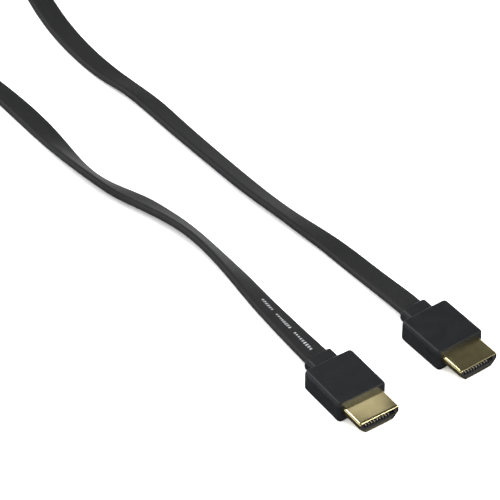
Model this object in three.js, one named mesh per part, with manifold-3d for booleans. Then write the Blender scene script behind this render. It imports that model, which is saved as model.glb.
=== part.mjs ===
// Flat HDMI cable: a slim black cord with a plug moulded on each end, lying on a floor.
// Both plugs point towards +X, side by side. The cord runs back from them in two strands,
// and the rest of it is folded into an oval hank that a twist tie holds.
// Millimetres, +Z up. The origin is the middle of plug A's underside.

import * as THREE from 'three';
import { mergeVertices } from 'three/addons/utils/BufferGeometryUtils.js';
import Module from 'manifold-3d';

const wasm = await Module();
wasm.setup();

// Moulded body of a plug
const bodyLength = 17.4;
const bodyWidth = 17;
const bodyHeight = 7.5;
const bodyCornerRadius = 1.2;
const bodyEndRounding = 0.8;

// Short neck behind the body, where the flat cord comes out
const neckLength = 5;
const neckWidth = 9.4;
const neckHeight = 4.8;
const neckCornerRadius = 1.6;
const neckEndRounding = 0.9;

// Plated shell, wide on top and narrower below
const shellWidth = 13.9;
const shellHeight = 4.45;
const shellSideHeight = 2.2;
const shellBaseWidth = 9.8;
const shellCornerRadius = 0.7;
const shellWall = 0.3;
const shellReach = 8.4;
const shellSeat = 1.8;
const shellDrop = 0.4;
const seatClearance = 0.1;

// Insulator inside the shell, with the slot for the socket's tongue
const insulatorClearance = 0.1;
const insulatorRecess = 0.3;
const slotWidth = 11;
const slotHeight = 1.7;
const slotDepth = 7.5;
const slotRise = 0.45;

// Spring contacts in two rows, each in a groove of its own
const contactsAbove = 10;
const contactsBelow = 9;
const contactPitch = 1;
const contactWidth = 0.45;
const contactThickness = 0.2;
const contactLength = 6.8;
const contactSetBack = 0.6;
const contactBow = 0.25;
const contactBowStart = 2.4;
const contactBowTop = 1.2;
const contactClearance = 0.06;
const grooveDepth = 0.3;

// Flat cord and the twist tie round its hank
const cordWidth = 8.1;
const cordThickness = 2.3;
const floorClearance = 0.1;
const jointGap = 0.3;
const hankRun = 78;
const hankFoldRadius = 32.5;
const hankPitch = 2.9;
const hankTurns = 2.5;
const hankCentre = new THREE.Vector2(-310.7, 11);
const tieWidth = 4;
const tieThickness = 0.4;
const tieTailLength = 12;
const tieTailRadius = 0.9;

// Where plug B lies: the middle of its underside, and how far it is turned
const plugBPlace = new THREE.Vector2(-1.3, 36.2);
const plugBTurn = THREE.MathUtils.degToRad(2.3);

// How far a cut runs out past the face that it opens
const cutOverrun = 1;

// Half as many steps as each round corner has, and as many as a rounded end has
const cornerSteps = 2;
const endSteps = 3;
const foldSteps = 16;
const strandASteps = 38;
const strandBSteps = 42;
const tailSides = 8;
const mergeDistance = 1e-4;

const blackMoulding = new THREE.MeshStandardMaterial({ color: 0x1d1e20, roughness: 0.5, metalness: 0 });
const blackJacket = new THREE.MeshStandardMaterial({ color: 0x222224, roughness: 0.55, metalness: 0 });
const blackInsulator = new THREE.MeshStandardMaterial({ color: 0x0c0c0d, roughness: 0.6, metalness: 0 });
const goldPlating = new THREE.MeshStandardMaterial({ color: 0xc9b878, roughness: 0.25, metalness: 1 });
const tiePlastic = new THREE.MeshStandardMaterial({ color: 0x18181a, roughness: 0.45, metalness: 0 });

// Solids and meshes: only positions are kept, so that shared corners merge

function toSolid(geometry) {
  const bare = geometry.clone();
  bare.deleteAttribute('normal');
  bare.deleteAttribute('uv');
  const merged = mergeVertices(bare, mergeDistance);
  return new wasm.Manifold(new wasm.Mesh({
    numProp: 3,
    vertProperties: new Float32Array(merged.attributes.position.array),
    triVerts: new Uint32Array(merged.index.array),
  }));
}

function toGeometry(solid) {
  const mesh = solid.getMesh();
  const geometry = new THREE.BufferGeometry();
  geometry.setAttribute('position', new THREE.BufferAttribute(mesh.vertProperties, 3));
  geometry.setIndex(new THREE.BufferAttribute(mesh.triVerts, 1));
  geometry.computeVertexNormals();
  return geometry;
}

function namedMesh(name, geometry, material) {
  const mesh = new THREE.Mesh(geometry, material);
  mesh.name = name;
  return mesh;
}

// Outlines across a plug: x is the plug's width and y its height

function rectangle(width, height) {
  return [
    new THREE.Vector2(-width / 2, -height / 2),
    new THREE.Vector2(width / 2, -height / 2),
    new THREE.Vector2(width / 2, height / 2),
    new THREE.Vector2(-width / 2, height / 2),
  ];
}

function shellCorners() {
  const side = shellHeight / 2 - shellSideHeight;
  return [
    new THREE.Vector2(-shellBaseWidth / 2, -shellHeight / 2),
    new THREE.Vector2(shellBaseWidth / 2, -shellHeight / 2),
    new THREE.Vector2(shellWidth / 2, side),
    new THREE.Vector2(shellWidth / 2, shellHeight / 2),
    new THREE.Vector2(-shellWidth / 2, shellHeight / 2),
    new THREE.Vector2(-shellWidth / 2, side),
  ];
}

// Moves each side of a convex outline inwards by a distance, or outwards by a negative one
function inset(corners, distance) {
  const count = corners.length;
  return corners.map((corner, i) => {
    const before = corner.clone().sub(corners[(i + count - 1) % count]).normalize();
    const after = corners[(i + 1) % count].clone().sub(corner).normalize();
    const inward = new THREE.Vector2(-before.y - after.y, before.x + after.x);
    return corner.clone().addScaledVector(inward, distance / (1 + before.dot(after)));
  });
}

// A closed shape through the corners, each rounded by an arc that touches both its sides
function roundedShape(corners, radius) {
  const count = corners.length;
  const shape = new THREE.Shape();
  corners.forEach((corner, i) => {
    const before = corners[(i + count - 1) % count].clone().sub(corner).normalize();
    const after = corners[(i + 1) % count].clone().sub(corner).normalize();
    const half = Math.acos(before.dot(after)) / 2;
    const centre = before.clone().add(after).normalize().multiplyScalar(radius / Math.sin(half)).add(corner);
    const enter = before.clone().multiplyScalar(radius / Math.tan(half)).add(corner).sub(centre);
    const leave = after.clone().multiplyScalar(radius / Math.tan(half)).add(corner).sub(centre);
    shape.absarc(centre.x, centre.y, radius, enter.angle(), leave.angle(), false);
  });
  return shape;
}

// Carries an outline along +X, from one place to another, and turns its height to +Z
function prism(shape, from, to, rounding = 0) {
  const geometry = new THREE.ExtrudeGeometry(shape, {
    depth: to - from - 2 * rounding,
    curveSegments: cornerSteps,
    bevelEnabled: rounding > 0,
    bevelThickness: rounding,
    bevelSize: rounding,
    bevelOffset: -rounding,
    bevelSegments: endSteps,
  });
  const turn = new THREE.Matrix4().makeBasis(
    new THREE.Vector3(0, 1, 0),
    new THREE.Vector3(0, 0, 1),
    new THREE.Vector3(1, 0, 0),
  );
  return geometry.applyMatrix4(turn).translate(from + rounding, 0, 0);
}

// A plug, in its own frame: the origin is the middle of its underside and it goes in towards +X

const bodyFront = bodyLength / 2;
const bodyBack = -bodyLength / 2;
const bodyMiddle = bodyHeight / 2;
const neckBack = bodyBack - neckLength;
const shellMiddle = bodyMiddle - shellDrop;
const shellFront = bodyFront + shellReach;
const shellBack = bodyFront - shellSeat;
const insulatorFront = shellFront - insulatorRecess;
const slotMiddle = shellMiddle + slotRise;
const slotEnd = insulatorFront - slotDepth;
const grooveWidth = contactWidth + 2 * contactClearance;

function overmould() {
  const body = toSolid(prism(roundedShape(rectangle(bodyWidth, bodyHeight), bodyCornerRadius),
    bodyBack, bodyFront, bodyEndRounding).translate(0, 0, bodyMiddle));
  const neck = toSolid(prism(roundedShape(rectangle(neckWidth, neckHeight), neckCornerRadius),
    neckBack, bodyBack + 2 * bodyEndRounding, neckEndRounding).translate(0, 0, bodyMiddle));
  const seat = toSolid(prism(
    roundedShape(inset(shellCorners(), -seatClearance), shellCornerRadius + seatClearance),
    shellBack - seatClearance,
    bodyFront + cutOverrun,
  ).translate(0, 0, shellMiddle));
  return toGeometry(body.add(neck).subtract(seat));
}

function shell() {
  const outline = roundedShape(shellCorners(), shellCornerRadius);
  outline.holes.push(roundedShape(inset(shellCorners(), shellWall), shellCornerRadius - shellWall));
  return prism(outline, shellBack, shellFront).translate(0, 0, shellMiddle);
}

// The contacts of a row, as places across the plug
function rowPlaces(count) {
  return Array.from({ length: count }, (_, i) => (i - (count - 1) / 2) * contactPitch);
}

function insulator() {
  const fit = shellWall + insulatorClearance;
  const block = toSolid(prism(
    roundedShape(inset(shellCorners(), fit), Math.max(shellCornerRadius - fit, insulatorClearance)),
    shellBack,
    insulatorFront,
  ).translate(0, 0, shellMiddle));
  const cutLength = slotDepth + cutOverrun;
  const opening = new THREE.BoxGeometry(cutLength, slotWidth, slotHeight);
  opening.translate(slotEnd + cutLength / 2, 0, slotMiddle);
  const groove = new THREE.BoxGeometry(cutLength, grooveWidth, grooveDepth * 2);
  let solid = block.subtract(toSolid(opening));
  for (const [count, side] of [[contactsAbove, 1], [contactsBelow, -1]]) {
    for (const place of rowPlaces(count)) {
      const cutter = groove.clone().translate(
        slotEnd + cutLength / 2,
        place,
        slotMiddle + side * slotHeight / 2,
      );
      solid = solid.subtract(toSolid(cutter));
    }
  }
  return toGeometry(solid);
}

// A contact lies on its groove's floor and bows out into the slot near its tip.
// side is 1 for the row above the slot and -1 for the row below it.
function contact(place, side) {
  const tip = insulatorFront - contactSetBack - contactClearance;
  const tail = tip - contactLength;
  const bowBack = tip - contactBowStart;
  const bowTop = tip - contactBowTop;
  const floor = contactClearance;
  const top = floor + contactThickness;
  const profile = new THREE.Shape([
    new THREE.Vector2(tail, floor),
    new THREE.Vector2(bowBack, floor),
    new THREE.Vector2(bowTop, floor + contactBow),
    new THREE.Vector2(tip, floor),
    new THREE.Vector2(tip, top),
    new THREE.Vector2(bowTop, top + contactBow),
    new THREE.Vector2(bowBack, top),
    new THREE.Vector2(tail, top),
  ]);
  const strip = new THREE.ExtrudeGeometry(profile, { depth: contactWidth, bevelEnabled: false });
  const grooveFloor = slotMiddle + side * (slotHeight / 2 + grooveDepth);
  strip.translate(0, 0, -contactWidth / 2);
  return strip.rotateX(-side * Math.PI / 2).translate(0, place, grooveFloor);
}

function plug(letter) {
  const group = new THREE.Group();
  group.add(namedMesh(`plug_${letter}_overmould`, overmould(), blackMoulding));
  group.add(namedMesh(`plug_${letter}_shell`, shell(), goldPlating));
  group.add(namedMesh(`plug_${letter}_insulator`, insulator(), blackInsulator));
  for (const [count, side, row] of [[contactsAbove, 1, 'upper'], [contactsBelow, -1, 'lower']]) {
    rowPlaces(count).forEach((place, i) => {
      group.add(namedMesh(`plug_${letter}_${row}_contact_${i + 1}`, contact(place, side), goldPlating));
    });
  }
  return group;
}

// The flat cord. Each station is a place on the floor, the tilt in degrees that raises the edge on
// the left of the way the strand is drawn, and how far the cord is lifted clear of the floor there.

const strandAStations = [
  [-14.0, 0, 0, 2.5],
  [-22.5, 0, 6, 2.1],
  [-33.5, 0.5, 13, 1.0],
  [-44.9, 1.0, 21, 0.15],
  [-56.0, 1.4, 30, 0],
  [-67.0, 1.4, 39, 0],
  [-77.6, 1.1, 41, 0],
  [-87.2, 0.1, 36, 0],
  [-95.9, -1.7, 29, 0],
  [-103.9, -4.0, 24, 0],
  [-110.9, -6.9, 28, 0],
  [-118.6, -9.5, 39, 0],
  [-128.2, -11.0, 40, 0],
  [-140.5, -11.0, 24, 0],
  [-153.8, -10.6, 8, 0],
  [-171.3, -11.3, 9, 0],
  [-190.7, -13.3, 26, 0],
  [-209.7, -15.9, 52, 0.1],
  [-228.7, -18.6, 76, 0.4],
  [-244.7, -20.5, 88, 0.6],
  [-257.7, -21.3, 90, 0.6],
];

const strandBStations = [
  [-15.3, 35.64, 0, 2.5],
  [-25.6, 35.3, 3, 1.8],
  [-35.4, 35.0, 6, 0.8],
  [-45.3, 34.6, 7, 0.1],
  [-54.2, 33.6, 12, 0],
  [-62.7, 32.1, 18, 0],
  [-71.3, 30.5, 25, 0],
  [-80.3, 29.2, 26, 0],
  [-90.0, 28.2, 24, 0],
  [-100.2, 27.5, 23, 0],
  [-116.1, 26.6, 21, 0],
  [-132.8, 26.0, 17, 0],
  [-144.2, 25.6, 16, 0],
  [-154.4, 24.4, 19, 0],
  [-164.6, 23.0, 11, 0],
  [-177.7, 22.2, 6, 0],
  [-190.7, 22.4, 2, 0.4],
  [-203.7, 23.2, 0, 2.0],
  [-216.7, 24.6, 0, 4.9],
  [-229.7, 26.3, 0, 7.7],
  [-241.7, 28.0, 0, 9.1],
  [-256.7, 30.0, 0, 9.1],
  [-270.7, 31.0, -18, 7.3],
  [-284.7, 31.6, -50, 4.0],
  [-298.7, 32.8, -80, 1.3],
  [-310.7, 33.4, -90, 0.6],
];

// The height of the cord's middle when it rests on its lower edge
function restingHeight(tilt) {
  const rise = Math.abs(Math.sin(THREE.MathUtils.degToRad(tilt)));
  return ((cordWidth - cordThickness) * rise + cordThickness) / 2 + floorClearance;
}

// A curve through the stations whose cross direction stays level, turned by the tilt
class RibbonRoute extends THREE.CatmullRomCurve3 {
  constructor(stations) {
    super(stations.map(([x, y, tilt, lift]) => new THREE.Vector3(x, y, restingHeight(tilt) + lift)));
    this.tilts = stations.map((station) => THREE.MathUtils.degToRad(station[2]));
  }

  tiltAt(u) {
    const place = this.getUtoTmapping(u) * (this.tilts.length - 1);
    const i = Math.min(Math.floor(place), this.tilts.length - 2);
    return THREE.MathUtils.lerp(this.tilts[i], this.tilts[i + 1], place - i);
  }

  computeFrenetFrames(steps) {
    const frames = { tangents: [], normals: [], binormals: [] };
    for (let i = 0; i <= steps; i += 1) {
      const tangent = this.getTangentAt(i / steps);
      const left = new THREE.Vector3(0, 0, 1).cross(tangent).normalize();
      left.applyAxisAngle(tangent, this.tiltAt(i / steps));
      frames.tangents.push(tangent);
      frames.normals.push(left);
      frames.binormals.push(tangent.clone().cross(left));
    }
    return frames;
  }
}

// The cord's section: flat, with round edges
function cordSection() {
  const reach = (cordWidth - cordThickness) / 2;
  const shape = new THREE.Shape();
  shape.absarc(reach, 0, cordThickness / 2, -Math.PI / 2, Math.PI / 2, false);
  shape.absarc(-reach, 0, cordThickness / 2, Math.PI / 2, 3 * Math.PI / 2, false);
  return shape;
}

function strand(stations, steps) {
  return new THREE.ExtrudeGeometry(cordSection(), {
    steps,
    curveSegments: cornerSteps,
    extrudePath: new RibbonRoute(stations),
  });
}

// The hank: the cord on edge, wound face to face round two half circles and two straight runs
const hankOuter = hankFoldRadius + cordThickness / 2;
const hankInner = hankFoldRadius - hankPitch * hankTurns - cordThickness / 2;
const hankBase = tieThickness + jointGap;
const hankTop = hankBase + cordWidth;

function ovalPath(path, radius) {
  path.absarc(hankRun / 2, 0, radius, -Math.PI / 2, Math.PI / 2, false);
  path.absarc(-hankRun / 2, 0, radius, Math.PI / 2, 3 * Math.PI / 2, false);
  return path;
}

function hank() {
  const outline = ovalPath(new THREE.Shape(), hankOuter);
  outline.holes.push(ovalPath(new THREE.Path(), hankInner));
  const geometry = new THREE.ExtrudeGeometry(outline, {
    depth: cordWidth,
    curveSegments: foldSteps,
    bevelEnabled: false,
  });
  return geometry.translate(hankCentre.x, hankCentre.y, hankBase);
}

// The twist tie: a band round the hank's near run, with its two ends twisted together on top
function tie() {
  const opening = rectangle(hankOuter - hankInner + 2 * jointGap, cordWidth + 2 * jointGap);
  const outline = roundedShape(inset(opening, -tieThickness), 2 * tieThickness);
  outline.holes.push(roundedShape(opening, tieThickness));
  const band = prism(outline, -tieWidth / 2, tieWidth / 2);
  const run = hankCentre.y - (hankOuter + hankInner) / 2;
  const bandTop = hankTop + jointGap + tieThickness;
  band.translate(hankCentre.x, run, (hankTop + hankBase) / 2);
  const tail = new THREE.CapsuleGeometry(tieTailRadius, tieTailLength, endSteps, tailSides).rotateZ(Math.PI / 2);
  tail.translate(hankCentre.x + tieTailLength / 2 - tieWidth / 2, run, bandTop + tieTailRadius - tieThickness);
  return toGeometry(toSolid(band).add(toSolid(tail)));
}

const cable = new THREE.Group();
cable.add(plug('a'));

const plugB = plug('b');
plugB.position.set(plugBPlace.x, plugBPlace.y, 0);
plugB.rotation.z = plugBTurn;
cable.add(plugB);

cable.add(namedMesh('cord_strand_a', strand(strandAStations, strandASteps), blackJacket));
cable.add(namedMesh('cord_strand_b', strand(strandBStations, strandBSteps), blackJacket));
cable.add(namedMesh('cord_hank', hank(), blackJacket));
cable.add(namedMesh('twist_tie', tie(), tiePlastic));

export default cable;
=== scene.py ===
import math

import bpy
import numpy as np
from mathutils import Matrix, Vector


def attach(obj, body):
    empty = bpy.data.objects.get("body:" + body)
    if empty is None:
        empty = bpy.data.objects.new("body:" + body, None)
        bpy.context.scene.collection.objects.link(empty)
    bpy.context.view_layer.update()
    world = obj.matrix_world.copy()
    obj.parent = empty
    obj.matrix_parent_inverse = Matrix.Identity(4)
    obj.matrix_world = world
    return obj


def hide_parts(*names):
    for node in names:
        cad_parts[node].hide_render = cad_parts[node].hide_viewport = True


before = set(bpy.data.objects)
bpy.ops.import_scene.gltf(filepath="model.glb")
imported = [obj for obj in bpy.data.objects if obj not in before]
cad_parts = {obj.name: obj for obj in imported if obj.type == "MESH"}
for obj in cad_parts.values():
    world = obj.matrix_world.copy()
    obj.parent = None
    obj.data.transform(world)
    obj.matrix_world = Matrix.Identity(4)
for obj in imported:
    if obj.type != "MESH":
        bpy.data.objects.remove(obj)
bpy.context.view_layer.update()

# Camera: a long lens looks down on the two plugs, from in front of them and to their left.
# The plugs fill the right of the picture, and both strands of cord leave it at the upper left.
view_azimuth, view_elevation = math.radians(55.7), math.radians(41.4)
view_back = Vector((
    math.sin(view_azimuth) * math.cos(view_elevation),
    -math.cos(view_azimuth) * math.cos(view_elevation),
    math.sin(view_elevation),
))
view_target = Vector((-0.06785, 0.0131, 0))
view_distance = 0.84
focal_pixels, picture_pixels, sensor_width = 2727, 500, 36
lens = bpy.data.cameras.new("studio_camera")
lens.sensor_width = sensor_width
lens.lens = focal_pixels / picture_pixels * sensor_width
lens.clip_start, lens.clip_end = 0.01, 50
camera = bpy.data.objects.new("studio_camera", lens)
camera.location = view_target + view_back * view_distance
camera.rotation_euler = view_back.to_track_quat("Z", "Y").to_euler()
bpy.context.scene.collection.objects.link(camera)
bpy.context.scene.camera = camera
bpy.context.scene.view_settings.view_transform = "Standard"


# Flat cord: copper wires in a slim black plastic jacket, extruded as one strip with round edges.
# It leaves plug A's neck, is wound on edge into a tied hank behind the picture's edge, and comes
# back to plug B's neck. The jacket is satin black with the faint drag lines of its die.
cord_width, cord_thickness, floor_clearance = 0.0081, 0.0023, 0.0001
hank_run, hank_fold_radius, hank_pitch, hank_half_turns = 0.078, 0.0325, 0.0029, 5
hank_centre, hank_lift, on_edge = np.array([-0.3107, 0.011]), 0.0006, 90
points_in_half_turn, points_in_run = 13, 4
ring_spacing, neck_depth = 0.0012, 0.0012
crease_angle = math.radians(38)

# Each station is x, y, the tilt in degrees that raises the near edge, and the lift off the floor
near_route = np.array([
    (-0.0140, 0.0000, 0, 0.0025), (-0.0225, 0.0000, 6, 0.0021), (-0.0335, 0.0005, 13, 0.0010),
    (-0.0449, 0.0010, 21, 0.00015), (-0.0560, 0.0014, 30, 0), (-0.0670, 0.0014, 39, 0),
    (-0.0776, 0.0011, 41, 0), (-0.0872, 0.0001, 36, 0), (-0.0959, -0.0017, 29, 0),
    (-0.1039, -0.0040, 24, 0), (-0.1109, -0.0069, 28, 0), (-0.1186, -0.0095, 39, 0),
    (-0.1282, -0.0110, 40, 0), (-0.1405, -0.0110, 24, 0), (-0.1538, -0.0106, 8, 0),
    (-0.1713, -0.0113, 9, 0), (-0.1907, -0.0133, 26, 0), (-0.2097, -0.0159, 52, 0.0001),
    (-0.2287, -0.0186, 76, 0.0004), (-0.2447, -0.0205, 88, 0.0006), (-0.2577, -0.0213, 90, 0.0006),
])
far_route = np.array([
    (-0.0153, 0.03564, 0, 0.0025), (-0.0256, 0.0353, 3, 0.0018), (-0.0354, 0.0350, 6, 0.0008),
    (-0.0453, 0.0346, 7, 0.0001), (-0.0542, 0.0336, 12, 0), (-0.0627, 0.0321, 18, 0),
    (-0.0713, 0.0305, 25, 0), (-0.0803, 0.0292, 26, 0), (-0.0900, 0.0282, 24, 0),
    (-0.1002, 0.0275, 23, 0), (-0.1161, 0.0266, 21, 0), (-0.1328, 0.0260, 17, 0),
    (-0.1442, 0.0256, 16, 0), (-0.1544, 0.0244, 19, 0), (-0.1646, 0.0230, 11, 0),
    (-0.1777, 0.0222, 6, 0), (-0.1907, 0.0224, 2, 0.0004), (-0.2037, 0.0232, 0, 0.0020),
    (-0.2167, 0.0246, 0, 0.0049), (-0.2297, 0.0263, 0, 0.0077), (-0.2417, 0.0280, 0, 0.0091),
    (-0.2567, 0.0300, 0, 0.0091), (-0.2707, 0.0310, -18, 0.0073), (-0.2847, 0.0316, -50, 0.0040),
    (-0.2987, 0.0328, -80, 0.0013), (-0.3107, 0.0334, -90, 0.0006),
    (-0.3227, 0.0352, -90, 0.0006), (-0.3347, 0.0361, -90, 0.0006),
])


def smooth_step(share):
    """Goes from 0 to 1 as the share does, level at both ends: share squared * (3 - 2 * share)."""
    return share**2 * (3 - 2 * share)


def half_turn(order):
    """Stations round one end of the hank: the end's centre plus radius * (cos angle, sin angle).
    The angle falls by half a turn, and the radius falls smoothly by half the pitch on the way."""
    share = np.linspace(0, 1, points_in_half_turn)
    radius = hank_fold_radius - hank_pitch / 2 * (order + smooth_step(share))
    west = order % 2 == 0
    angle = np.pi * ((-0.5 if west else 0.5) - share)
    centre = hank_centre + [-hank_run / 2 if west else hank_run / 2, 0]
    place = centre + radius[:, None] * np.stack([np.cos(angle), np.sin(angle)], 1)
    return np.column_stack([place, np.full_like(share, on_edge), np.full_like(share, hank_lift)])


def straight_run(start, end):
    """Stations evenly between two others, without those two."""
    return start + (end - start) * np.linspace(0, 1, points_in_run + 2)[1:-1, None]


def smooth_line(points, spacing):
    """A line through all the points whose bending never jumps. Each column is a cubic of the
    distance along the chords, and the cubics' second derivatives solve one linear system."""
    chord = np.append(0, np.cumsum(np.linalg.norm(np.diff(points[:, :2], axis=0), axis=1)))
    gap = np.diff(chord)
    system, right = np.eye(len(points)), np.zeros_like(points)
    inner = np.arange(1, len(points) - 1)
    system[inner, inner - 1] = gap[:-1]
    system[inner, inner] = 2 * (gap[:-1] + gap[1:])
    system[inner, inner + 1] = gap[1:]
    right[1:-1] = 6 * np.diff(np.diff(points, axis=0) / gap[:, None], axis=0)
    bend = np.linalg.solve(system, right)
    at = np.linspace(0, chord[-1], round(chord[-1] / spacing))
    i = np.clip(np.searchsorted(chord, at) - 1, 0, len(gap) - 1)
    before, after, step = (at - chord[i])[:, None], (chord[i + 1] - at)[:, None], gap[i][:, None]
    return (
        (bend[i] * after**3 + bend[i + 1] * before**3) / (6 * step)
        + (points[i] / step - bend[i] * step / 6) * after
        + (points[i + 1] / step - bend[i + 1] * step / 6) * before
    )


def rounded_strip(width, thickness, arc_points=12, flat_points=7):
    """The section of a flat strip with round edges: two half circles joined by straight flats."""
    reach = (width - thickness) / 2
    turn = np.linspace(-np.pi / 2, np.pi / 2, arc_points)
    edge = np.stack([reach + thickness / 2 * np.cos(turn), thickness / 2 * np.sin(turn)], 1)
    across = np.linspace(reach, -reach, flat_points + 2)
    flat = np.stack([across, np.full(flat_points + 2, thickness / 2)], 1)
    half = np.concatenate([edge, flat[1:-1]])
    return np.concatenate([half, -half])


def skin(name, rings, looped=False, along=None, around=None):
    """A closed mesh over a grid of points: each row is a ring that closes on itself, and quads
    join it to the next row. A looped skin joins its last ring to its first, others get two caps."""
    rows, columns = rings.shape[:2]
    index = np.arange(rows * columns).reshape(rows, columns)
    lower, upper = (index, np.roll(index, -1, 0)) if looped else (index[:-1], index[1:])
    quads = np.stack([lower, np.roll(lower, -1, 1), np.roll(upper, -1, 1), upper], -1).reshape(-1, 4)
    points = rings.reshape(-1, 3)
    a, b, c, d = (points[quads[:, k]] for k in range(4))
    inside_out = np.sum(np.cross(b - a, c - a) * a + np.cross(c - a, d - a) * a) < 0
    faces = quads[:, ::-1] if inside_out else quads
    caps = [] if looped else [index[0, ::-1], index[-1]]
    mesh = bpy.data.meshes.new(name)
    mesh.from_pydata(points.tolist(), [], faces.tolist() + [
        (cap[::-1] if inside_out else cap).tolist() for cap in caps
    ])
    mesh.polygons.foreach_set("use_smooth", np.ones(len(mesh.polygons), bool))
    if along is not None:
        ends = np.append(around, 2 * around[-1] - around[-2])
        u = np.stack([along[:-1], along[:-1], along[1:], along[1:]], -1)[:, None].repeat(columns, 1)
        v = np.stack([ends[:-1], ends[1:], ends[1:], ends[:-1]], -1)[None].repeat(rows - 1, 0)
        grid = np.stack([u, v], -1).reshape(-1, 4, 2)
        corners = (grid[:, ::-1] if inside_out else grid).reshape(-1, 2)
        uv = np.zeros((len(mesh.loops), 2))
        uv[:len(corners)] = corners
        mesh.uv_layers.new(name="UVMap").data.foreach_set("uv", uv.ravel())
    mesh.set_sharp_from_angle(angle=crease_angle)
    piece = bpy.data.objects.new(name, mesh)
    bpy.context.scene.collection.objects.link(piece)
    return piece


class Shade:
    """One socket of a shader. Sums, differences and products of sockets add their Math nodes."""

    def __init__(self, socket):
        self.socket = socket

    def node(self, kind, settings, inputs, output=0):
        """Adds a node of this kind: its settings first, then the value or link of each socket."""
        tree = self.socket.id_data
        made = tree.nodes.new(kind)
        for name, value in settings.items():
            setattr(made, name, value)
        for name, value in inputs.items():
            if isinstance(value, Shade):
                tree.links.new(value.socket, made.inputs[name])
            else:
                made.inputs[name].default_value = value
        return Shade(made.outputs[output])

    def math(self, operation, *values):
        return self.node("ShaderNodeMath", {"operation": operation}, dict(enumerate(values)))

    def __add__(self, other):
        return self.math("ADD", self, other)

    def __sub__(self, other):
        return self.math("SUBTRACT", self, other)

    def __rsub__(self, other):
        return self.math("SUBTRACT", other, self)

    def __mul__(self, other):
        return self.math("MULTIPLY", self, other)

    def stretched(self, *scale):
        return self.node("ShaderNodeMapping", {}, {"Vector": self, "Scale": scale})

    def noise(self, scale, detail=2.0):
        return self.node("ShaderNodeTexNoise", {}, {"Vector": self, "Scale": scale, "Detail": detail})

    def rise(self, low, high):
        """0 below low, 1 above high, and a smooth step between them."""
        return self.node(
            "ShaderNodeMapRange", {"interpolation_type": "SMOOTHSTEP"},
            {"Value": self, "From Min": low, "From Max": high},
        )

    def colour(self, first, second):
        """The first colour where this is 0, the second where it is 1."""
        return self.node(
            "ShaderNodeMix", {"data_type": "RGBA"}, {0: self, 6: (*first, 1), 7: (*second, 1)}, 2,
        )

    def relief(self, depth, strength=1.0):
        """The normal of a surface that this raises by up to depth, in metres."""
        return self.node("ShaderNodeBump", {}, {"Height": self, "Distance": depth, "Strength": strength})


def new_finish(name):
    """A new material, with its Object and UV coordinates as sockets to work from."""
    material = bpy.data.materials.new(name)
    material.use_nodes = True
    places = material.node_tree.nodes.new("ShaderNodeTexCoord")
    return material, Shade(places.outputs["Object"]), Shade(places.outputs["UV"])


def lay_on(material, fixed, varying):
    """Sets the surface shader's fixed values and links its varying ones."""
    surface = material.node_tree.nodes["Principled BSDF"]
    for name, value in fixed.items():
        surface.inputs[name].default_value = value
    for name, shade in varying.items():
        material.node_tree.links.new(shade.socket, surface.inputs[name])


def dress(piece, material):
    """Gives a piece its material in a slot, and lets it ride on the one body."""
    piece.data.materials.append(material)
    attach(piece, "root")
    return piece


stations = [near_route]
for order in range(hank_half_turns):
    turn = half_turn(order)
    stations += [straight_run(stations[-1][-1], turn[0]), turn]
stations.append(far_route[::-1] * [1, 1, -1, 1])
stations = np.concatenate(stations)
plug_ends = [stations[0] + [neck_depth, 0, 0, 0], stations[-1] + [neck_depth, 0, 0, 0]]
stations = np.concatenate([plug_ends[:1], stations, plug_ends[1:]])
cord_line = smooth_line(stations, ring_spacing)
cord_tilt = np.radians(cord_line[:, 2])
resting = ((cord_width - cord_thickness) * np.abs(np.sin(cord_tilt)) + cord_thickness) / 2
cord_centre = np.column_stack([
    cord_line[:, :2], resting + floor_clearance + np.maximum(cord_line[:, 3], 0),
])
heading = np.gradient(cord_centre, axis=0)
heading /= np.linalg.norm(heading, axis=1)[:, None]
level = np.cross([0, 0, 1], heading)
level /= np.linalg.norm(level, axis=1)[:, None]
upright = np.cross(heading, level)
cord_across = level * np.cos(cord_tilt)[:, None] + upright * np.sin(cord_tilt)[:, None]
cord_top = np.cross(heading, cord_across)
cord_distance = np.append(0, np.cumsum(np.linalg.norm(np.diff(cord_centre, axis=0), axis=1)))
strip = rounded_strip(cord_width, cord_thickness)
strip_distance = np.append(0, np.cumsum(np.linalg.norm(np.diff(strip, axis=0), axis=1)))
cord = skin(
    "flat_cord",
    cord_centre[:, None] + strip[:, :1] * cord_across[:, None] + strip[:, 1:] * cord_top[:, None],
    along=cord_distance,
    around=strip_distance,
)
jacket, jacket_place, jacket_uv = new_finish("black_jacket")
drag_lines = jacket_uv.stretched(60, 3600, 1).noise(1, 3)
jacket_grain = jacket_place.noise(3400, 3)
jacket_patches = jacket_uv.stretched(28, 160, 1).noise(1, 2)
lay_on(jacket, {"Specular IOR Level": 0.26}, {
    "Base Color": (jacket_patches * 0.2 + jacket_grain * 0.8).rise(0.38, 0.64).colour(
        (0.0034, 0.0035, 0.0038), (0.0084, 0.0085, 0.0089)),
    "Roughness": jacket_patches * 0.1 + jacket_grain * 0.1 + 0.44,
    "Normal": (drag_lines * 0.4 + jacket_grain * 0.6).relief(0.00014, 0.8),
})
dress(cord, jacket)
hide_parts("cord_strand_a", "cord_strand_b", "cord_hank")


# Print on the cord: white ink pressed on the jacket beside plug A. It holds three groups of
# plain upright bars, which say nothing. The ink stands a few hundredths of a millimetre proud.
ink_start = 0.0027
ink_groups = [(0.0000, 9), (0.0114, 8), (0.0216, 6)]
bar_pitch, bar_width, bar_height, ink_depth = 0.00105, 0.00052, 0.0011, 0.00003


def on_cord(distance, aside, height):
    """Points above the cord: its centreline at a distance, moved across it and out of its top."""
    def at(columns):
        return np.stack([np.interp(distance, cord_distance, columns[:, k]) for k in range(3)], -1)
    return at(cord_centre) + aside[..., None] * at(cord_across) + height[..., None] * at(cord_top)


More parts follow.
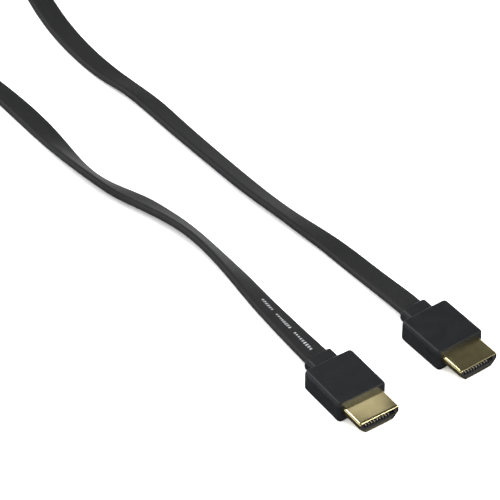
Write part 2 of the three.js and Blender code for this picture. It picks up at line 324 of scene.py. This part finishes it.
bar_start = ink_start + np.concatenate([
    start + bar_pitch * np.arange(count) for start, count in ink_groups
])
bar_reach = bar_height / 2 * (0.8 + 0.2 * np.sin(7 * np.arange(len(bar_start))))
corner_along = np.array([0, 1, 1, 0, 0, 1, 1, 0]) * bar_width
corner_aside = np.array([-1, -1, 1, 1, -1, -1, 1, 1])
corner_height = cord_thickness / 2 + np.array([-1, -1, -1, -1, 1, 1, 1, 1]) * ink_depth
bar_points = on_cord(
    neck_depth + bar_start[:, None] + corner_along,
    bar_reach[:, None] * corner_aside,
    np.broadcast_to(corner_height, (len(bar_start), 8)),
)
bar_faces = np.array([
    (0, 1, 2, 3), (4, 7, 6, 5), (0, 4, 5, 1), (1, 5, 6, 2), (2, 6, 7, 3), (3, 7, 4, 0),
])
print_mesh = bpy.data.meshes.new("cord_print")
print_mesh.from_pydata(
    bar_points.reshape(-1, 3).tolist(), [],
    (bar_faces + 8 * np.arange(len(bar_start))[:, None, None]).reshape(-1, 4).tolist(),
)
cord_print = bpy.data.objects.new("cord_print", print_mesh)
bpy.context.scene.collection.objects.link(cord_print)
ink, ink_place, _ = new_finish("white_ink")
ink_cover = ink_place.noise(2600, 3)
lay_on(ink, {"Specular IOR Level": 0.3}, {
    "Base Color": ink_cover.rise(0.3, 0.6).colour((0.10, 0.10, 0.11), (0.24, 0.24, 0.25)),
    "Roughness": ink_cover * 0.2 + 0.5,
    "Normal": ink_cover.relief(0.00002, 0.4),
})
dress(cord_print, ink)


# Plugs' bodies: satin black plastic, moulded in one shot round each plug's shell and cord. A body
# is a slim block with well rounded edges, and a short neck behind it holds the cord. The mould
# leaves a fine spark-eroded texture and a parting line at half height.
body_length, body_width, body_height, body_corner = 0.0174, 0.017, 0.0075, 0.0012
back_rounding, front_rounding = (0.0011, 0.0009), (0.0009, 0.0004)
neck_length, neck_width, neck_height, neck_corner = 0.005, 0.0094, 0.0048, 0.0014
neck_rounding, neck_fillet = (0.0004, 0.0009), 0.0004
mouth_gap, mouth_depth = 0.0001, 0.0006
shell_width, shell_height, shell_side, shell_base = 0.0139, 0.00445, 0.0022, 0.0098
shell_corner, shell_wall, shell_reach, shell_seat = 0.0007, 0.0003, 0.0084, 0.0018
shell_drop, seat_gap = 0.0004, 0.00002
corner_points, fine_points, spoke_count = 12, 3000, 264
body_middle, body_front, body_back = body_height / 2, body_length / 2, -body_length / 2
shell_middle = body_middle - shell_drop
neck_back = body_back - neck_length
plug_places = {"a": (0, 0, 0), "b": (-0.0013, 0.0362, math.radians(2.3))}


def rounded(corners, radius, grow=0.0):
    """An outline whose corners are arcs that touch both sides. Each arc's centre lies on its
    corner's bisector, radius / sin(half the angle) away, and growing only widens the arcs."""
    def unit(vectors):
        return vectors / np.linalg.norm(vectors, axis=-1, keepdims=True)
    before, after = unit(np.roll(corners, 1, 0) - corners), unit(np.roll(corners, -1, 0) - corners)
    half = np.arccos(np.sum(before * after, 1)) / 2
    centre = corners + unit(before + after) * (radius / np.sin(half))[:, None]
    first = corners + before * (radius / np.tan(half))[:, None] - centre
    turn = np.linspace(0, 1, corner_points) * (np.pi - 2 * half)[:, None]
    angle = np.arctan2(first[:, 1], first[:, 0])[:, None] + turn
    arcs = centre[:, None] + (radius + grow) * np.stack([np.cos(angle), np.sin(angle)], -1)
    return arcs.reshape(-1, 2)


def block(width, height, corner):
    """The outline of a rectangle with round corners, round the origin and anticlockwise."""
    corners = np.array([(-1, -1), (1, -1), (1, 1), (-1, 1)]) * [width / 2, height / 2]
    return rounded(corners, corner)


def shell_corners():
    """The corners of the shell's outline: wide above, with both lower corners cut away."""
    top, side = shell_height / 2, shell_height / 2 - shell_side
    return np.array([
        (-shell_base / 2, -top), (shell_base / 2, -top), (shell_width / 2, side),
        (shell_width / 2, top), (-shell_width / 2, top), (-shell_width / 2, side),
    ])


def spread_evenly(outline, count):
    """The same closed outline with its points at even distances."""
    closed = np.concatenate([outline, outline[:1]])
    walked = np.append(0, np.cumsum(np.linalg.norm(np.diff(closed, axis=0), axis=1)))
    at = np.linspace(0, walked[-1], count, endpoint=False)
    return np.stack([np.interp(at, walked, closed[:, k]) for k in range(2)], 1)


spokes = spread_evenly(block(body_width, body_height, body_corner), spoke_count)
spokes = np.arctan2(spokes[:, 1], spokes[:, 0])


def spoked(outline):
    """The outline read along fixed spokes from the middle, so that unlike outlines can be joined:
    its radius as a function of the angle, at each spoke's angle."""
    fine = spread_evenly(outline, fine_points)
    angle, radius = np.arctan2(fine[:, 1], fine[:, 0]), np.hypot(fine[:, 0], fine[:, 1])
    reach = np.interp(spokes, angle, radius, period=2 * np.pi)
    return reach[:, None] * np.stack([np.cos(spokes), np.sin(spokes)], 1)


def rounded_end(width, height, corner, rounding, steps=8):
    """Outlines from a block's end face inwards, as (depth, outline) pairs. At each depth the sides
    stand in by radius - sqrt(radius^2 - (radius - depth)^2), with a radius each way."""
    across, upward = rounding
    def inset(radius, depth):
        return radius - math.sqrt(max(radius**2 - max(radius - depth, 0) ** 2, 0))
    turns = np.linspace(0, np.pi / 2, steps)
    depths = [radius * (1 - math.cos(turn)) for radius in rounding for turn in turns]
    return [
        (depth, block(width - 2 * inset(across, depth), height - 2 * inset(upward, depth), corner))
        for depth in np.unique(np.round(depths, 6))
    ]


def body_stack():
    """The body's outlines from the cord's mouth to the shell's seat, as (x, outline) pairs. The
    fillet between neck and body widens by its radius * (1 - cos t), radius * (1 - sin t) from it."""
    mouth = rounded_strip(cord_width + 2 * mouth_gap, cord_thickness + 2 * mouth_gap)
    stack = [(neck_back + mouth_depth, mouth), (neck_back, mouth)]
    for depth, outline in rounded_end(neck_width, neck_height, neck_corner, neck_rounding):
        stack.append((neck_back + depth, outline))
    for turn in np.linspace(0, np.pi / 2, 5):
        wider = 2 * neck_fillet * (1 - math.cos(turn))
        x = body_back - neck_fillet * (1 - math.sin(turn))
        stack.append((x, block(neck_width + wider, neck_height + wider, neck_corner)))
    for depth, outline in rounded_end(body_width, body_height, body_corner, back_rounding):
        stack.append((body_back + depth, outline))
    for depth, outline in rounded_end(body_width, body_height, body_corner, front_rounding)[::-1]:
        stack.append((body_front - depth, outline))
    seat = rounded(shell_corners(), shell_corner, seat_gap) - [0, shell_drop]
    return stack + [(body_front, seat), (body_front - shell_seat, seat)]


def placed(rings, plug):
    """Moves points from a plug's own frame to where it lies on the floor."""
    x, y, turn = plug_places[plug]
    cos, sin = math.cos(turn), math.sin(turn)
    return rings @ np.array([(cos, sin, 0), (-sin, cos, 0), (0, 0, 1)]) + [x, y, 0]


def stood_up(x, outline, middle):
    """Lays a plug's outline across X: its width goes to Y and its height to Z."""
    return np.column_stack([np.full(len(outline), x), outline[:, 0], outline[:, 1] + middle])


moulding, moulding_place, _ = new_finish("black_moulding")
eroded = moulding_place.noise(3600, 4)
flow = moulding_place.noise(240, 3)
moulding_height = moulding_place.node("ShaderNodeSeparateXYZ", {}, {"Vector": moulding_place}, 2)
above_parting = moulding_height - body_middle
parting = above_parting.math("ABSOLUTE", above_parting).rise(0.00003, 0.00009)
lay_on(moulding, {"Specular IOR Level": 0.3}, {
    "Base Color": (flow * 0.6 + eroded * 0.4).rise(0.3, 0.7).colour(
        (0.0015, 0.0019, 0.0028), (0.0034, 0.0040, 0.0054)),
    "Roughness": flow * 0.12 + eroded * 0.10 + 0.35,
    "Normal": (eroded * 0.6 + parting * 0.4).relief(0.00008, 0.7),
})
body_rings = np.stack([stood_up(x, spoked(outline), body_middle) for x, outline in body_stack()])
for plug in plug_places:
    body = skin(f"plug_{plug}_body", placed(body_rings, plug))
    dress(body, moulding)
    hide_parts(f"plug_{plug}_overmould")


# Shells: thin steel strip, stamped and folded into a D-shaped tube, then plated pale gold. The
# two edges of the strip meet in a seam underneath, and the mouth is rolled in slightly.
tip_rolled, tip_rolled_length, lip_radius = 0.00008, 0.0006, 0.00018
seam_width, seam_depth, seat_ring = 0.00016, 0.00012, 0.0004
shell_back, shell_front = body_front - shell_seat, body_front + shell_reach


def shell_rings():
    """Rings round the tube's wall: out along its outer face, over the rounded lip, and back inside.
    The lip is a quarter circle, and the roll insets it by a smooth step."""
    lip_start = shell_front - lip_radius
    outside = [(shell_back, 0), (shell_back + seat_ring, 0)]
    for share in np.linspace(0, 1, 6):
        outside.append((lip_start - tip_rolled_length * (1 - share), tip_rolled * smooth_step(share)))
    over = [
        (lip_start + lip_radius * math.sin(turn), tip_rolled + lip_radius * (1 - math.cos(turn)))
        for turn in np.linspace(0, np.pi / 2, 7)[1:]
    ]
    inside = [
        (shell_front, shell_wall + tip_rolled),
        (shell_front - tip_rolled_length, shell_wall),
        (shell_back, shell_wall),
    ]
    rings = []
    for x, inset in outside + over + inside:
        outline = rounded(shell_corners(), shell_corner, -inset)
        depth = seam_depth if inset < lip_radius else 0
        seam = np.array([(-1, 0), (-0.5, depth), (0.5, depth), (1, 0)]) * [seam_width / 2, 1]
        seam += [0, inset - shell_height / 2]
        outline = np.insert(outline, corner_points, seam, axis=0)
        rings.append(stood_up(x, outline, shell_middle))
    return np.stack(rings)


plating, plating_place, _ = new_finish("gold_plating")
rolled = plating_place.stretched(500, 9000, 9000).noise(1, 3)
plating_mottle = plating_place.noise(420, 3)
lay_on(plating, {"Metallic": 1.0}, {
    "Base Color": plating_mottle.rise(0.3, 0.7).colour((0.68, 0.585, 0.305), (0.75, 0.65, 0.345)),
    "Roughness": plating_mottle * 0.04 + rolled * 0.05 + 0.115,
    "Normal": rolled.relief(0.000012, 0.35),
})
for plug in plug_places:
    shell = skin(f"plug_{plug}_plated_shell", placed(shell_rings(), plug), looped=True)
    dress(shell, plating)
    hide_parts(f"plug_{plug}_shell")


# Insulators and contacts: a black moulded block fills each shell, with a slot for the socket's
# tongue. Nineteen spring contacts lie in its grooves, ten above the slot and nine below it.
insulator_finish, insulator_place, _ = new_finish("black_insulator")
insulator_grain = insulator_place.noise(5200, 3)
lay_on(insulator_finish, {"Specular IOR Level": 0.45}, {
    "Base Color": insulator_grain.rise(0.3, 0.7).colour((0.006, 0.006, 0.0065), (0.012, 0.012, 0.0125)),
    "Roughness": insulator_grain * 0.15 + 0.38,
    "Normal": insulator_grain.relief(0.00002, 0.4),
})
contact_finish, contact_place, _ = new_finish("gold_contact")
contact_grain = contact_place.noise(4200, 2)
lay_on(contact_finish, {"Metallic": 1.0}, {
    "Base Color": contact_grain.rise(0.3, 0.7).colour((0.86, 0.80, 0.64), (0.93, 0.88, 0.74)),
    "Roughness": contact_grain * 0.1 + 0.35,
    "Normal": contact_grain.relief(0.00001, 0.3),
})
for name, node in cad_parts.items():
    if "_insulator" in name or "_contact_" in name:
        node.material_slots[0].material = insulator_finish if "_insulator" in name else contact_finish


# Twist tie: a flat black plastic ribbon with a wire in its middle. It goes once round the hank's
# near run, and its two ends are twisted round each other on top and splayed.
tie_width, tie_thickness, tie_gap, band_corner = 0.004, 0.0004, 0.00018, 0.0012
wire_width, wire_bulge = 0.00035, 0.00012
run_outside = hank_centre[1] - hank_fold_radius - cord_thickness / 2
run_inside = run_outside + 2 * hank_pitch + cord_thickness
run_bottom = hank_lift + floor_clearance
tie_middle = np.array([hank_centre[0], (run_outside + run_inside) / 2, run_bottom + cord_width / 2])
tie_finish, tie_place, _ = new_finish("black_tie_plastic")
tie_grain = tie_place.noise(2400, 3)
lay_on(tie_finish, {"Specular IOR Level": 0.5}, {
    "Base Color": tie_grain.rise(0.3, 0.7).colour((0.009, 0.009, 0.010), (0.016, 0.016, 0.017)),
    "Roughness": tie_grain * 0.15 + 0.3,
    "Normal": tie_grain.relief(0.00003, 0.4),
})


def wired_strip(width, thickness):
    """The section of the ribbon: a rounded strip whose faces swell over the wire by
    bulge * exp(-(place across / wire width)^2)."""
    section = rounded_strip(width, thickness, 6, 21)
    swell = wire_bulge * np.exp(-((section[:, 0] / wire_width) ** 2)) * np.sign(section[:, 1])
    return section + np.column_stack([np.zeros(len(section)), swell])


def tie_band():
    """Rings round the band: its section carried along a rounded oblong that hugs the run."""
    opening = [run_inside - run_outside + 2 * tie_gap, cord_width + 2 * tie_gap]
    line = spread_evenly(block(*(np.array(opening) + tie_thickness), band_corner), 96)
    line = np.column_stack([np.zeros(len(line)), line]) + tie_middle
    outward = np.cross(np.roll(line, -1, 0) - np.roll(line, 1, 0), [1, 0, 0])
    outward /= np.linalg.norm(outward, axis=1)[:, None]
    section = wired_strip(tie_width, tie_thickness)
    return line[:, None] + section[:, :1] * [1, 0, 0] + section[:, 1:] * outward[:, None]


tail_length, tail_radius, tail_turns = 0.0107, 0.00048, 2.5
twisted_share, splay = 0.66, 0.0019
tail_width, end_width, tail_thickness = 0.0011, 0.0020, 0.0005
tail_sunk, sunk_share = 0.0014, 0.16
band_top = tie_middle[2] + cord_width / 2 + tie_gap + tie_thickness


def tie_tail(side, rings=110):
    """Rings of one end: a ribbon wound round a level line by an angle that grows evenly along the
    twisted share. Past that its distance from the line grows with the square of the way left. The
    line starts sunk in the band, by an amount that falls with the square of the way out. The
    section is drawn one metre wide and scaled to the ribbon's width at each ring."""
    share = np.linspace(0, 1, rings)
    free = np.clip((share - twisted_share) / (1 - twisted_share), 0, 1)
    angle = 2 * np.pi * tail_turns * np.minimum(share / twisted_share, 1)
    from_line = tail_radius + splay * free**2
    outward = side * np.stack([np.zeros(rings), np.cos(angle), np.sin(angle)], 1)
    sunk = tail_sunk * np.clip(1 - share / sunk_share, 0, 1) ** 2
    axis = np.stack([share * tail_length, np.zeros(rings), tail_radius - sunk], 1)
    line = [tie_middle[0], tie_middle[1], band_top] + axis + outward * from_line[:, None]
    heading = np.gradient(line, axis=0)
    across = np.cross(heading, outward)
    across /= np.linalg.norm(across, axis=1)[:, None]
    section = wired_strip(1, tail_thickness)
    width = (tail_width + (end_width - tail_width) * free)[:, None, None]
    aside = section[:, :1] * width * across[:, None]
    return line[:, None] + aside + section[:, 1:] * outward[:, None]


tie_pieces = [
    skin("twist_tie_band", tie_band(), looped=True),
    skin("twist_tie_near_tail", tie_tail(-1)),
    skin("twist_tie_far_tail", tie_tail(1)),
]
for piece in tie_pieces:
    dress(piece, tie_finish)
    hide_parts("twist_tie")


# Stage: a plain white floor under a bright even sky. Glossy surfaces mirror a darker studio, which
# is brightest low down and darkest overhead, and three soft boxes.
floor_reach, sky_strength = 6, 2.6
floor_mesh = bpy.data.meshes.new("studio_floor")
floor_mesh.from_pydata(
    [(x * floor_reach, y * floor_reach, 0) for x, y in ((-1, -1), (1, -1), (1, 1), (-1, 1))],
    [], [(0, 1, 2, 3)],
)
floor = bpy.data.objects.new("studio_floor", floor_mesh)
floor.visible_glossy = False
bpy.context.scene.collection.objects.link(floor)
floor_finish, floor_place, _ = new_finish("white_floor")
floor_mottle = floor_place.noise(30, 2)
lay_on(floor_finish, {"Specular IOR Level": 0.0, "Roughness": 0.9}, {
    "Base Color": floor_mottle.colour((0.90, 0.90, 0.90), (0.92, 0.92, 0.92)),
})
floor_mesh.materials.append(floor_finish)


def soft_box(name, place, aim, size, radiance):
    """A square area light at a place, turned towards the point it lights."""
    light = bpy.data.lights.new(name, "AREA")
    light.energy, light.size = radiance * math.pi * size**2, size
    box = bpy.data.objects.new(name, light)
    box.location = place
    box.rotation_euler = (Vector(place) - Vector(aim)).to_track_quat("Z", "Y").to_euler()
    box.visible_camera = False
    bpy.context.scene.collection.objects.link(box)


soft_box("soft_box_left", (-0.465, -0.27, 0.525), (0, 0.015, 0), 0.34, 8)
soft_box("soft_box_right", (0.118, 0.056, 0.104), (0.014, 0, 0.005), 0.07, 12)
soft_box("soft_box_near", (-0.094, 0.058, 0.108), (0.012, 0, 0.005), 0.064, 0.62)

sky = bpy.data.worlds.new("studio_sky")
sky.use_nodes = True
sky_nodes = sky.node_tree.nodes
direction = Shade(sky_nodes.new("ShaderNodeTexCoord").outputs["Generated"])
glossy = Shade(sky_nodes.new("ShaderNodeLightPath").outputs["Is Glossy Ray"])
rising = direction.node("ShaderNodeSeparateXYZ", {}, {"Vector": direction}, 2)
low_wall, above_wall, overhead = rising.rise(-0.55, -0.3), rising.rise(-0.3, 0.0), rising.rise(0.45, 0.72)
studio = low_wall * 2.4 - above_wall * 2.05 - overhead * 0.34 + 0.05
light_strength = glossy * studio + (1 - glossy) * sky_strength
sky_nodes["Background"].inputs["Color"].default_value = (1, 1, 1, 1)
sky.node_tree.links.new(light_strength.socket, sky_nodes["Background"].inputs["Strength"])
bpy.context.scene.world = sky
